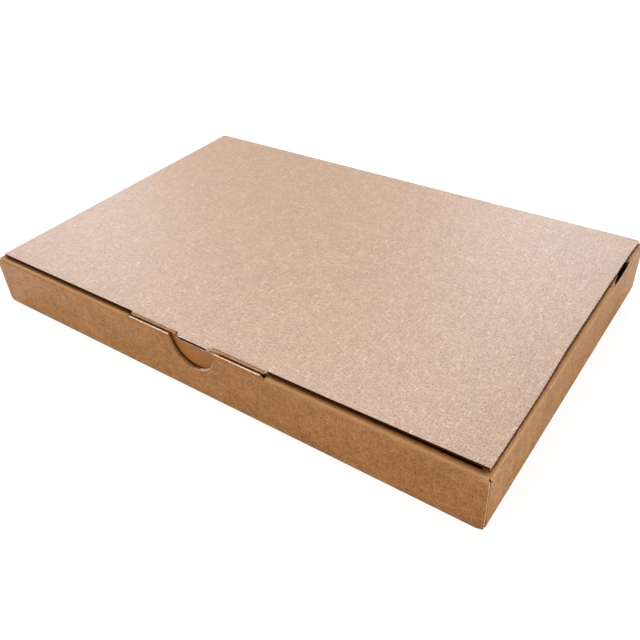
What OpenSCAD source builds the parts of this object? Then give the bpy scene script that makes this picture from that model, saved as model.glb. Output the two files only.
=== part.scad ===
// Flat tuck-lid box folded from one sheet of fine corrugated kraft board, in millimetres.
// The origin is under the middle of the floor, the front faces -Y, and the lid turns on the
// crease along the top of the back wall. The flutes of the board run left to right.

/* [Box] */
// Outer length, left to right
box_l = 350; // [280:1:460]
// Outer width, front to back
box_w = 227; // [190:1:300]
// Height of the rolled front and side walls
wall_h = 34.8; // [30:0.1:60]

/* [Board] */
// Thickness of the board
board_t = 1.5; // [1.1:0.1:1.9]
// Radius on the inside of a fold
fold_in = 0.4; // [0.2:0.1:0.8]
// Gap where one piece of the board passes or meets another
board_gap = 0.3; // [0.2:0.05:0.5]

/* [Rolled walls] */
// Fall of a rolled top towards the inside of the box, in degrees
roll_tilt = 12; // [2:1:18]
// Length of the corner tabs that the side walls send into the front wall
front_tab_l = 70; // [30:1:80]
// Length of the corner tabs that the back wall sends into the side walls
back_tab_l = 22; // [14:1:24]
// Width of the tongues that lock the inner panels into the floor
lock_w = 32; // [20:1:45]

/* [Lid] */
// Space between the lid and the rolled walls below it
lid_gap = 0.4; // [0.3:0.1:1.5]
// Distance of the lid's side edges from the outer faces of the side walls
lid_side_in = 2.6; // [2:0.1:3.6]
// Width of the tuck tab at its crease
tuck_w = 100; // [70:1:120]
// Height of the tuck tab below the top of the lid
tuck_h = 22.7; // [20:0.1:26]
// Radius of the tuck tab's lower corners
tuck_r = 8; // [3:1:12]
// Narrowing of the tuck tab at each side, just below its crease
tuck_taper = 3; // [1:0.5:6]
// Height over which the tuck tab narrows
tuck_slope = 4; // [2:0.5:6]
// Play of the tuck tab towards the inside of its slot
tuck_play = 0.6; // [0.3:0.1:1.5]

/* [Front slot and thumb notch] */
// Play of the tuck tab at each end of its slot
slot_play = 1; // [0.5:0.1:3]
// Height of the lip in front of the slot, above the rolled top
slot_lip = 1.4; // [0.6:0.1:1.6]
// Slope length of the front lip's ends
lip_end = 2.6; // [1:0.1:5]
// Radius of the half-round thumb notch
notch_r = 17; // [10:0.5:18]
// Width of the finger lip where it leaves the lid
finger_w = 27.4; // [16:0.2:30]
// Reach of the finger lip in front of the lid's edge
finger_reach = 3.4; // [2:0.1:4]
// Narrowing of each end of the finger lip
finger_taper = 3.3; // [1:0.1:5]

/* [Side slots] */
// Distance from the back of the box to each side slot
side_slot_back = 25; // [24:1:50]
// Length of each side slot
side_slot_l = 30; // [24:1:60]
// Distance of a side slot's inner edge from the outer face of the wall
side_slot_in = 3.6; // [3:0.1:4.2]
// Length of the slanting cut at the front end of each side slot
side_slope = 17.5; // [8:0.5:20]

/* [Hidden] */
$fn = 64;
// Amount by which cuts run past the faces that they open
past = 1;
// Distance of a cut that has to clear the whole box
far = 2 * box_l;
// Largest turn of one flat facet of a bend, in degrees
facet_turn = 11.25;
// Length of flat board with which each folded piece starts, inside the panel that it is part of
lap = 3;
kraft_face = [0.72, 0.56, 0.40];
kraft_lid = [0.82, 0.69, 0.58];

fold_out = fold_in + board_t;
lid_top = wall_h + lid_gap + board_t;
half_l = box_l / 2;
half_w = box_w / 2;

// Crease of the lid: the centre of its bend and, on the outer skin of the bend, its hinge line.
// A slit at this angle parts the lid's half of the bend from the back wall's half.
slit_angle = 45;
crease_y = half_w - fold_out;
crease_z = lid_top - fold_out;
hinge_out = fold_out + 0.5 * board_gap;
hinge_y = crease_y + hinge_out * cos(slit_angle);
hinge_z = crease_z + hinge_out * sin(slit_angle);

// The tip of the tuck tab swings forward by this much as it comes out of the slot
tuck_drop = tuck_h - lid_top + hinge_z;
tuck_reach = hinge_y + half_w - 2 * board_t;
tuck_swing = tuck_drop * tuck_drop / (2 * tuck_reach);
// Distance from the front face to the tab's face, and to the lid's front edge at its crease
tuck_in = board_t + board_gap + tuck_swing;
lid_front_in = tuck_in + fold_out;
// A rolled wall is as thick as its two panels and what has to slide between them
slot_in = tuck_in + board_t + tuck_play;
roll_w = slot_in + board_gap + board_t;
roll_flat = roll_w - 2 * fold_out;
roll_run = roll_flat / cos(roll_tilt);
roll_drop = roll_flat * tan(roll_tilt);

// Each list holds the sheet's flat runs and the turns after them, from the floor outwards
wall_run = wall_h - 2 * fold_out;
inner_run = wall_h - fold_out - roll_drop - board_t - board_gap;
ROLLED = [[lap, 90], [wall_run, 90 + roll_tilt], [roll_run, 90 - roll_tilt], [inner_run, 0]];
LOCKED = [ROLLED[0], ROLLED[1], ROLLED[2], [inner_run + board_t, 0]];
BACK = [[lap, 90], [crease_z - fold_out, slit_angle], [0, 0]];

// The corner tabs lie under the rolled tops and over the floor
tab_low = fold_out + board_gap;
tab_high = wall_h - fold_out - roll_drop;
// The slots are cut through the rolled tops down to here, and in front of them the outer panels
// stand straight up from here, in place of their bends
slot_low = tab_high - fold_in;
// Half-length of the back wall between the side walls' outer panels
back_half = half_l - board_t - board_gap;

slot_w = tuck_w + 2 * slot_play;

// The sheet seen on edge. Its inner face starts along +X at the origin. Each step is a flat run and
// the left turn after it, and a turn goes round a centre that lies fold_in above the inner face.
function heading(steps, i) = i == 0 ? 0 : heading(steps, i - 1) + steps[i - 1][1];

function centre(steps, i) =
  (i == 0 ? [0, fold_in] : centre(steps, i - 1))
    + steps[i][0] * [cos(heading(steps, i)), sin(heading(steps, i))];

// Points along one face of the sheet, whose distance from each centre is the radius
function face_points(steps, radius) = [
  [0, fold_in - radius],
  for (i = [0 : 1 : len(steps) - 1])
    let (turn = steps[i][1], facets = max(1, ceil(turn / facet_turn)))
      for (part = [0 : 1 : turn > 0 ? facets : 0])
        let (a = heading(steps, i) + turn * part / facets)
          centre(steps, i) + radius * [sin(a), -cos(a)]
];

function backwards(points) = [for (i = [len(points) - 1 : -1 : 0]) points[i]];

module sheet(steps) {
  polygon(concat(face_points(steps, fold_out), backwards(face_points(steps, fold_in))));
}

// Carries a wall's edge view to the middle of its fold on the floor; out is 0 for +X and 90 for +Y
module wall_at(out, from_middle, length) {
  rotate(out) translate([from_middle - fold_out - lap, 0, board_t])
    rotate([90, 0, 0]) linear_extrude(length, center = true) children();
}

// A plate cut to an outline seen from the front, in X and Z, from front_y backwards
module plate_xz(front_y, depth) {
  translate([0, front_y + depth, 0]) rotate([90, 0, 0]) linear_extrude(depth) children();
}

// Edge view of a tongue: the end of a rolled wall's inner panel, standing in its slot in the floor
module tongue() {
  intersection() {
    sheet(LOCKED);
    translate([lap + fold_out - roll_w - past, -board_t - past]) square([board_t + 2 * past, wall_h / 2]);
  }
}

module floor_panel() {
  difference() {
    translate([fold_out - half_l, fold_out - half_w, 0])
      cube([box_l - 2 * fold_out, box_w - 2 * fold_out, board_t]);
    lock_slots();
  }
}

// Mid-lines of the tongues: places along the front wall and along each side wall
function front_locks() = [-box_l / 4, box_l / 4];
function side_locks() = [-box_w / 4, box_w / 4];

module lock_slot() {
  translate([roll_w - board_t - board_gap, -lock_w / 2 - board_gap, -past])
    cube([board_t + 2 * board_gap, lock_w + 2 * board_gap, board_t + 2 * past]);
}

module lock_slots() {
  for (x = front_locks()) translate([x, -half_w, 0]) rotate(90) lock_slot();
  for (y = side_locks(), side = [0, 180]) rotate(side) translate([-half_l, y, 0]) lock_slot();
}

// The rolled tops and inner panels meet at a mitre in each front corner, with a gap between them.
// Half of it is cut from the wall on each side of the mitre: turn is 0 for the front wall's half.
module mitre(turn) {
  reach = 3 * roll_w;
  translate([half_l, -half_w, fold_out]) mirror([turn, turn, 0])
    linear_extrude(far) translate([-board_gap * sqrt(0.5), 0])
      polygon([[0, 0], [reach, 0], [reach, reach], [-reach, reach]]);
}

module front_mitres() {
  for (side = [0, 1])
    mirror([side, 0, 0])
      intersection() {
        mitre(0);
        translate([-far / 2, board_t + board_gap / 2 - half_w, 0]) cube([far, far, far]);
      }
}

module front_lip() {
  high = wall_h + slot_lip;
  half = slot_w / 2;
  plate_xz(-half_w, board_t)
    polygon([[-half, slot_low], [half, slot_low], [half, wall_h - past], [half - lip_end, high],
      [lip_end - half, high], [-half, wall_h - past]]);
}

module front_wall() {
  difference() {
    union() {
      difference() {
        wall_at(-90, half_w, box_l) sheet(ROLLED);
        translate([-slot_w / 2, -half_w - past, slot_low])
          cube([slot_w, slot_in + past, far]);
        front_mitres();
      }
      front_lip();
    }
    translate([0, board_t + board_gap / 2 - half_w, wall_h + slot_lip])
      rotate([90, 0, 0]) cylinder(r = notch_r, h = board_t + past);
  }
  for (x = front_locks()) translate([x, 0, 0]) wall_at(-90, half_w, lock_w) tongue();
}

// Tab that the right-hand side wall turns into the front wall
module front_corner_tab() {
  start = board_t + board_gap + fold_out - half_w;
  translate([half_l - board_t, start + lap, tab_low])
    linear_extrude(tab_high - tab_low - board_gap)
      rotate(-90) mirror([0, 1, 0]) sheet([[lap, 90], [front_tab_l, 0]]);
}

// The slot is seen from above. Its front end slants from the outer face inwards.
module side_slot() {
  back = half_w - side_slot_back;
  front = back - side_slot_l;
  translate([half_l, 0, slot_low]) linear_extrude(far)
    polygon([[past, front - past * side_slope / side_slot_in], [-side_slot_in, front + side_slope],
      [-side_slot_in, back], [past, back]]);
}

// Beside the slot the outer panel ends in a straight cut, just below the rolled top
module side_lip() {
  back = half_w - side_slot_back;
  translate([half_l - board_t, back - side_slot_l, slot_low - past])
    cube([board_t, side_slot_l, wall_h - fold_in - slot_low + past]);
}

module side_wall() {
  front = board_gap + fold_out - half_w;
  back = half_w - board_gap;
  corner = board_t + board_gap + fold_out;
  difference() {
    translate([0, (front + back) / 2, 0]) wall_at(0, half_l, back - front) sheet(ROLLED);
    mitre(1);
    side_slot();
    translate([half_l - corner, -half_w, fold_out])
      cube([corner + past, corner, wall_run]);
    translate([half_l - far, half_w - board_t - board_gap, fold_out])
      cube([far - 2 * (board_t + board_gap), far, far]);
  }
  side_lip();
  front_corner_tab();
  for (y = side_locks()) translate([0, y, 0]) wall_at(0, half_l, lock_w) tongue();
}

module back_corner_tab() {
  translate([back_half - fold_out - lap, half_w - board_t, tab_low])
    linear_extrude(tab_high - tab_low - board_gap)
      mirror([0, 1, 0]) sheet([[lap, 90], [back_tab_l, 0]]);
}

module hinge_slit() {
  translate([0, crease_y, crease_z]) rotate([slit_angle, 0, 0])
    translate([-far / 2, 0, -board_gap / 2]) cube([far, 2 * fold_out, board_gap]);
}

module back_wall() {
  difference() {
    wall_at(90, half_w, 2 * (back_half - fold_out)) sheet(BACK);
    hinge_slit();
  }
  back_corner_tab();
  mirror([1, 0, 0]) back_corner_tab();
}

module tray() {
  color(kraft_face) {
    floor_panel();
    front_wall();
    side_wall();
    mirror([1, 0, 0]) side_wall();
    back_wall();
  }
}

module lid_panel() {
  side = half_l - lid_side_in;
  front = lid_front_in - half_w;
  translate([-side, front, lid_top - board_t]) cube([2 * side, crease_y - front, board_t]);
}

// The lid's half of the bend along the back
module lid_crease() {
  half = back_half - fold_out;
  difference() {
    translate([-half, crease_y - lap, lid_top]) rotate([90, 0, 90])
      linear_extrude(2 * half) mirror([0, 1, 0]) translate([0, board_t])
        sheet([[lap, 90 - slit_angle], [0, 0]]);
    hinge_slit();
  }
}

module tuck_outline() {
  half = tuck_w / 2;
  low = lid_top - tuck_h;
  straight = half - tuck_taper;
  polygon([[-half, lid_top + past], [half, lid_top + past], [half, lid_top - fold_in],
    [straight, lid_top - tuck_slope], [-straight, lid_top - tuck_slope], [-half, lid_top - fold_in]]);
  translate([-straight, low + tuck_r]) square([2 * straight, tuck_h - tuck_slope - tuck_r]);
  translate([tuck_r - straight, low]) square([2 * (straight - tuck_r), tuck_r + past]);
  for (x = [tuck_r - straight, straight - tuck_r]) translate([x, low + tuck_r]) circle(tuck_r);
}

// The finger lip stays flat when the tab folds down, so the same outline is missing from the tab
module finger_outline(back) {
  base = finger_w / 2;
  tip = base - finger_taper;
  front = lid_front_in - half_w;
  polygon([[-base, front + back], [base, front + back], [base, front], [tip, front - finger_reach],
    [-tip, front - finger_reach], [-base, front]]);
}

module finger_gap() {
  base = finger_w / 2;
  bend_length = fold_out * PI / 2;
  low = crease_z - max(board_gap, finger_reach - bend_length) - board_gap;
  plate_xz(-half_w - past, lid_front_in + past)
    polygon([[-base - board_gap, lid_top + past], [base + board_gap, lid_top + past],
      [base - finger_taper + board_gap, low], [finger_taper - base - board_gap, low]]);
}

module tuck_tab() {
  difference() {
    intersection() {
      translate([0, lid_front_in - half_w + lap, lid_top]) rotate([90, 0, -90])
        linear_extrude(tuck_w, center = true) mirror([0, 1, 0]) translate([0, board_t])
          sheet([[lap, 90], [tuck_h - fold_out, 0]]);
      plate_xz(-half_w - past, box_w) tuck_outline();
    }
    finger_gap();
  }
  translate([0, 0, lid_top - board_t]) linear_extrude(board_t) finger_outline(2 * board_t);
}

module lid() {
  color(kraft_lid) {
    lid_panel();
    lid_crease();
    tuck_tab();
  }
}

tray();
lid();
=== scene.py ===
# %% [markdown]
# # A tuck-lid box, folded from one sheet of kraft board
#
# The real box is a single die-cut sheet of fine corrugated board. The front and side walls
# are rolled: each goes up, turns over the top and comes down again inside. So this lesson
# does not model walls. It cuts flat panels and folds them, as the carton maker does, and
# every cut edge shows what the board is made of.
#
# The first cell loads the measured model. Everything made here is placed in that frame.

# %% Load the measured frame
import functools
import math

import bpy
import numpy as np
from mathutils import Matrix, Vector


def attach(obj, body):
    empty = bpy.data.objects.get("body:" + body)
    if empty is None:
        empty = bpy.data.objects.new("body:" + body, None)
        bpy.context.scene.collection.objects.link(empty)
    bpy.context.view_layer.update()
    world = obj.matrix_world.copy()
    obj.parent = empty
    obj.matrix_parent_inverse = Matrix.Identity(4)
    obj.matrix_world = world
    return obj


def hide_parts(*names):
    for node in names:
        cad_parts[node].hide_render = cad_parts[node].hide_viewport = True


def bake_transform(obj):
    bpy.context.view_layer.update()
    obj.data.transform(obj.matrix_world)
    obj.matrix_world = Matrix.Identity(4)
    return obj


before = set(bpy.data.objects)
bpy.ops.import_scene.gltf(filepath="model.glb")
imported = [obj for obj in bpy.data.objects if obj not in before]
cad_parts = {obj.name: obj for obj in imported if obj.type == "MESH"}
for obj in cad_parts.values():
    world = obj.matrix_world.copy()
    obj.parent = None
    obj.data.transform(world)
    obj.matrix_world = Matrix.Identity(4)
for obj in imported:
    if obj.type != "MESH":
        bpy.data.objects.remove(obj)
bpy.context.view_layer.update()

# %% [markdown]
# ## Camera
#
# The photograph's own edges give its viewpoint: three families of parallel edges meet in
# three vanishing points. The camera stands in front of the right-hand corner, a little under
# half a metre away, and looks down at about 37 degrees.

# %% Camera at the photograph's viewpoint
EYE = Vector((0.2418, -0.3129, 0.2786))
RIGHT = Vector((0.81681, 0.57471, -0.05035)).normalized()
LOOK = Vector((-0.48301, 0.63352, -0.60445)).normalized()


def add_object(name, data):
    """A new object in the scene with this data."""
    made = bpy.data.objects.new(name, data)
    bpy.context.scene.collection.objects.link(made)
    return made


camera = add_object("camera", bpy.data.cameras.new("camera"))
up = RIGHT.cross(LOOK).normalized()
side = LOOK.cross(up).normalized()
camera.matrix_world = Matrix.Translation(EYE) @ Matrix((side, up, -LOOK)).transposed().to_4x4()
camera.data.sensor_width = 36.0
camera.data.lens = 40.4
camera.data.clip_start, camera.data.clip_end = 0.01, 20.0
bpy.context.scene.camera = camera
print("camera", [round(v, 3) for v in EYE], "lens", camera.data.lens)

# %% [markdown]
# ## One helper for nodes and one for colours
#
# Colours are written as sRGB hex values, as on a paint card, and turned to linear light here.
# A material is a chain of nodes. One function adds any of them, so each line below names a
# node and what goes into it.

# %% Colour and node helpers
def paint(hex_value):
    """Linear RGBA of an sRGB colour: each channel goes through the sRGB curve."""
    srgb = np.array([int(hex_value[i : i + 2], 16) for i in (1, 3, 5)]) / 255
    linear = np.where(srgb <= 0.04045, srgb / 12.92, ((srgb + 0.055) / 1.055) ** 2.4)
    return (*linear.tolist(), 1.0)


def add_node(tree, kind, inputs=None, **settings):
    """One shader node. settings are its own options. inputs go by name or number: a number
    or colour is set on the socket itself, an output socket is linked to it, and a node is
    linked by its first output in use."""
    node = tree.nodes.new("ShaderNode" + kind)
    for key, value in settings.items():
        setattr(node, key, value)
    for key, value in (inputs or {}).items():
        if isinstance(value, bpy.types.Node):
            value = next(socket for socket in value.outputs if socket.enabled)
        if isinstance(value, bpy.types.NodeSocket):
            tree.links.new(value, node.inputs[key])
        else:
            node.inputs[key].default_value = value
    return node


def adder(owner):
    """add_node for the node tree of a material or world, which is emptied first."""
    owner.use_nodes = True
    owner.node_tree.nodes.clear()
    return functools.partial(add_node, owner.node_tree)


print("paint of mid grey", [round(v, 3) for v in paint("#808080")])

# %% [markdown]
# ## Board on edge
#
# A panel is only a flat sheet until it is creased. Measured along the sheet, a fold is a
# short stretch in which the board turns round a small radius. `fold` below takes a place on
# the flat sheet and gives its place on the folded one, for the inner skin, the outer skin or
# anything between them. All the sizes are in millimetres and are those of the CAD model.

# %% Sizes and the folding function
LENGTH, WIDTH, WALL = 350.0, 227.0, 34.8  # the outer faces, and the walls' height
BOARD, FOLD_IN, GAP = 1.5, 0.4, 0.3  # thickness, inner radius of a fold, room between parts
FOLD_OUT = FOLD_IN + BOARD
FOLD_MID = FOLD_IN + BOARD / 2
LID_LIFT = 0.4  # from the walls up to the lid
LID_TOP = WALL + LID_LIFT + BOARD
HALF_L, HALF_W = LENGTH / 2, WIDTH / 2
TILT = 12.0  # degrees by which a rolled wall's top falls to the inside
LIP = 1.4  # how far the upright lip stands above the front wall
TAB_OUT = 2.907  # from the front face to the tuck tab's outer face
LID_FRONT = TAB_OUT + FOLD_OUT
ROLL = 6.807  # thickness of a rolled wall
ROLL_RUN = (ROLL - 2 * FOLD_OUT) / math.cos(math.radians(TILT))
ROLL_DROP = (ROLL - 2 * FOLD_OUT) * math.tan(math.radians(TILT))
WALL_RUN = WALL - 2 * FOLD_OUT
INNER_RUN = WALL - FOLD_OUT - ROLL_DROP - BOARD - GAP
# a folded sheet is a list of flat runs, each with the turn in degrees that follows it
ROLLED = [(0, 90), (WALL_RUN, 90 + TILT), (ROLL_RUN, 90 - TILT), (INNER_RUN + BOARD, 0)]
UPRIGHT = [(0, 90), (60, 0)]
ROUNDING = 1e-9  # so that a point on a crease belongs to the stretch after it
NEAR = 1e-3  # two places on the sheet closer than this are the same


def fold(steps, p, h):
    """Section of a folded sheet. Along a flat run the point moves straight on. In a turn it
    goes round the fold's centre: p over the radius of the board's middle is the angle, and
    the skin h (0 inner, 1 outer) sets the distance from the centre."""
    p, h = np.broadcast_arrays(np.asarray(p, float), np.asarray(h, float))
    section = np.zeros(p.shape + (2,))
    start, angle, corner = 0.0, 0.0, np.zeros(2)
    for run, turn in steps:
        ahead = np.array([math.cos(angle), math.sin(angle)])
        left = np.array([-math.sin(angle), math.cos(angle)])
        flat = corner + (p - start)[..., None] * ahead - h[..., None] * BOARD * left
        section = np.where((p >= start - ROUNDING)[..., None], flat, section)
        start, corner = start + run, corner + run * ahead
        if turn:
            centre = corner + FOLD_IN * left
            swing = angle + (p - start) / FOLD_MID
            ring = np.stack([np.sin(swing), -np.cos(swing)], -1)
            bent = centre + (FOLD_IN + h * BOARD)[..., None] * ring
            section = np.where((p >= start - ROUNDING)[..., None], bent, section)
            angle += math.radians(turn)
            start += math.radians(turn) * FOLD_MID
            corner = centre + FOLD_IN * np.array([math.sin(angle), -math.cos(angle)])
    return section


def stations(steps, every=4.0, facets=10):
    """Where the sheet needs a row of points: ten in each turn, and one about every 4 mm on
    the flat, measured along the middle of the board."""
    places, start = [0.0], 0.0
    for run, turn in steps:
        bend = math.radians(turn) * FOLD_MID
        for stretch, count in ((run, max(1, round(run / every))), (bend, facets)):
            if stretch:
                places += list(start + stretch * np.arange(1, count + 1) / count)
                start += stretch
    return np.array(places)


def even_steps(low, high, every):
    """Places from low to high about every so many millimetres."""
    return np.linspace(low, high, max(1, round((high - low) / every)) + 1)


def lines(*parts):
    """All these places in order, each once, to a ten-thousandth of a millimetre."""
    return np.unique(np.round(np.concatenate(parts), 4))


def between(places):
    """Middles of the steps in a row of places."""
    places = np.asarray(places, float)
    return (places[1:] + places[:-1]) / 2


P_PANEL = math.pi / 2 * FOLD_MID  # where the outer panel starts, after the fold at the floor
P_TOP = P_PANEL + WALL_RUN  # where it starts to roll over
P_CREASE = P_TOP + 0.5 * math.radians(90 + TILT) * FOLD_MID  # the middle of that fold
P_STRIP = P_TOP + math.radians(90 + TILT) * FOLD_MID  # the start of the strip over the top
P_INNER = P_STRIP + ROLL_RUN  # where the strip turns down
P_DOWN = P_INNER + math.radians(90 - TILT) * FOLD_MID  # the start of the inner panel
P_END = P_DOWN + INNER_RUN  # its end, on the floor
print("sheet of a rolled wall: crease at %.2f mm, end at %.2f mm" % (P_CREASE, P_END))

# %% [markdown]
# ## A sheet with a cut outline
#
# Each panel is a grid of points on the flat sheet, and some cells of the grid are cut away.
# The helper folds the grid twice, once for each liner, and closes it with a strip of cut
# edge wherever a kept cell has no neighbour. A border that goes on in the next panel gets
# no strip, so the panels join into one sheet. The strips know which way the flutes run.

# %% Grid of board
LINER, OPEN_FLUTES, CRUSHED, HOLLOW, PAINTED_SEAM_SHADE = 0, 1, 2, 3, 4
WITHIN = slice(1, -1)
BORDERS = {"p0": (0, WITHIN), "p1": (-1, WITHIN), "q0": (WITHIN, 0), "q1": (WITHIN, -1)}


def cell_corners(index, i, j):
    """The four corner points of each cell, going round it."""
    return np.stack([index[i, j], index[i, j + 1], index[i + 1, j + 1], index[i + 1, j]], -1)


def board(place, P, Q, keep=None, joined=None, flutes="q", along=CRUSHED):
    """Both skins and the cut edges of one panel. place(P, Q, h) gives the folded points.
    joined names the borders (p0, p1, q0, q1) that go on in another panel, each as True or as
    a row of True and False. An edge that crosses the flutes shows them open; an edge that
    runs along them is crushed, or it opens one flute as a hollow."""
    P, Q = np.broadcast_arrays(P, Q)
    keep = np.ones((P.shape[0] - 1, P.shape[1] - 1), bool) if keep is None else keep
    # the cells with one more all round: 1 is board, 0 none, and 2 the next panel's board
    around = np.pad(keep.astype(int), 1)
    for border, cells in (joined or {}).items():
        line = BORDERS[border]
        around[line] = np.where(np.broadcast_to(cells, around[line].shape), 2, 0)
    skins = np.concatenate([place(P, Q, np.full(P.shape, h)).reshape(-1, 3) for h in (0.0, 1.0)])
    sheet = np.stack([Q.ravel(), P.ravel()], -1)
    flat = sheet if flutes == "q" else sheet[:, ::-1]
    size = P.size  # the outer skin's points come this many after the inner skin's
    index = np.arange(size).reshape(P.shape)
    corners = cell_corners(index, *np.nonzero(keep))
    a, b, d = (skins[corners[:, number] + size] for number in (0, 1, 3))
    top, bottom = corners + size, corners[:, ::-1]
    if (np.cross(b - a, d - a) * (a - skins[corners[:, 0]])).sum() < 0:
        top, bottom = top[:, ::-1], bottom[:, ::-1]
    faces = [top, bottom]
    uvs = [flat[top % size], flat[bottom % size]]
    kinds = [np.full(2 * len(top), LINER)]
    # a cut edge has board on one side of it only: first between the rows of cells, where it
    # runs along j, and then between the columns, where it runs along i
    for axis, (di, dj), inner in ((0, (0, 1), np.s_[:, 1:-1]), (1, (1, 0), np.s_[1:-1, :])):
        before = np.take(around, range(around.shape[axis] - 1), axis)[inner]
        after = np.take(around, range(1, around.shape[axis]), axis)[inner]
        i, j = np.nonzero(before + after == 1)
        back = -before[i, j]
        middle = skins[cell_corners(index, i + back * dj, j + back * di)].mean(1)
        low, high = index[i, j], index[i + di, j + dj]
        quad = np.stack([low, high, high + size, low + size], -1)
        run, rise = (skins[quad[:, number]] - skins[low] for number in (1, 3))
        wrong = (np.cross(run, rise) * (skins[quad].mean(1) - middle)).sum(-1) < 0
        quad[wrong] = quad[wrong][:, ::-1]
        faces.append(quad)
        uvs.append(np.stack([sheet[quad % size, axis], np.where(quad >= size, BOARD, 0.0)], -1))
        crossing = (axis == 1) == (flutes == "q")
        kinds.append(np.full(len(quad), OPEN_FLUTES if crossing else along))
    return skins, np.concatenate(faces), np.concatenate(uvs), np.concatenate(kinds)


def make_piece(name, panels, materials, painted_maps=None):
    """One mesh from several panels. Points that fall together are merged, so that the
    sheet runs on from panel to panel. The last argument gives each point its painted
    highlight and its matt, which also paints shade, 0 to 1."""
    starts = np.cumsum([0] + [len(skins) for skins, *_ in panels])
    points = np.concatenate([skins for skins, *_ in panels])
    faces = np.concatenate([panel[1] + start for panel, start in zip(panels, starts)])
    uvs, kinds = (np.concatenate([panel[number] for panel in panels]) for number in (2, 3))
    _, first, same = np.unique(np.round(points, 3), axis=0, return_index=True, return_inverse=True)
    used, faces = np.unique(same.reshape(-1)[faces], return_inverse=True)
    points = points[first][used]
    mesh = bpy.data.meshes.new(name)
    mesh.from_pydata((points * 0.001).tolist(), [], faces.reshape(-1, 4).tolist())
    mesh.uv_layers.new(name="board").uv.foreach_set("vector", uvs.astype(np.float32).ravel())
    mesh.polygons.foreach_set("material_index", kinds.astype(np.int32))
    for material in materials:
        mesh.materials.append(material)
    for label, amount in (painted_maps(points) if painted_maps else {}).items():
        worn = mesh.attributes.new(label, "FLOAT", "POINT")
        worn.data.foreach_set("value", amount.astype(np.float32))
    mesh.shade_smooth()
    mesh.set_sharp_from_angle(angle=math.radians(32))
    mesh.update()
    piece = add_object(name, mesh)
    print(name, len(mesh.vertices), "points", len(mesh.polygons), "faces")
    return piece


print("borders", list(BORDERS))

# %% [markdown]
# ## Kraft liner
#
# The skin of the board is unbleached kraft paper: long brown wood fibres, matted in all
# directions, with a soft sheen from the rollers of the paper mill. Close up it is mottled
# over a few centimetres, and hair-thin fibres and small dark bark specks lie in it. So the
# colour is built up like the paper: clouds, mottle and grain first, then fibres, then a
# painted highlight along the crests and painted shade on matt places, then specks. The same
# patterns roughen its gloss.

# %% Kraft liner material
FLUTE = 3.3  # from one crest of the corrugated medium to the next, in millimetres
# patterns as scale per metre and detail: 900 is a grain of about 1 mm, 230 a mottle of about
# 4 mm, 60 a cloud of about 17 mm
GRAIN, MOTTLE, CLOUD = (900.0, 2.0), (230.0, 2.0), (60.0, 1.0)
ROUGH = {"Roughness": 0.6}  # how strongly each pattern's finer octaves show
# a fibre is a spot of 1 mm, drawn out to 4 mm along one axis and narrowed to half on the others
FIBRE = {"Scale": 950.0, "Detail": 1.0, "Distortion": 0.8}
FIBRE_SHAPES = ((0.25, 2.0, 2.0), (2.0, 0.25, 2.0), (2.0, 2.0, 0.25), (1.2, 1.2, 0.3))
SPECKS = 85.0  # per metre: a place for one about every 12 mm, and a fifth of the places hold one


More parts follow.
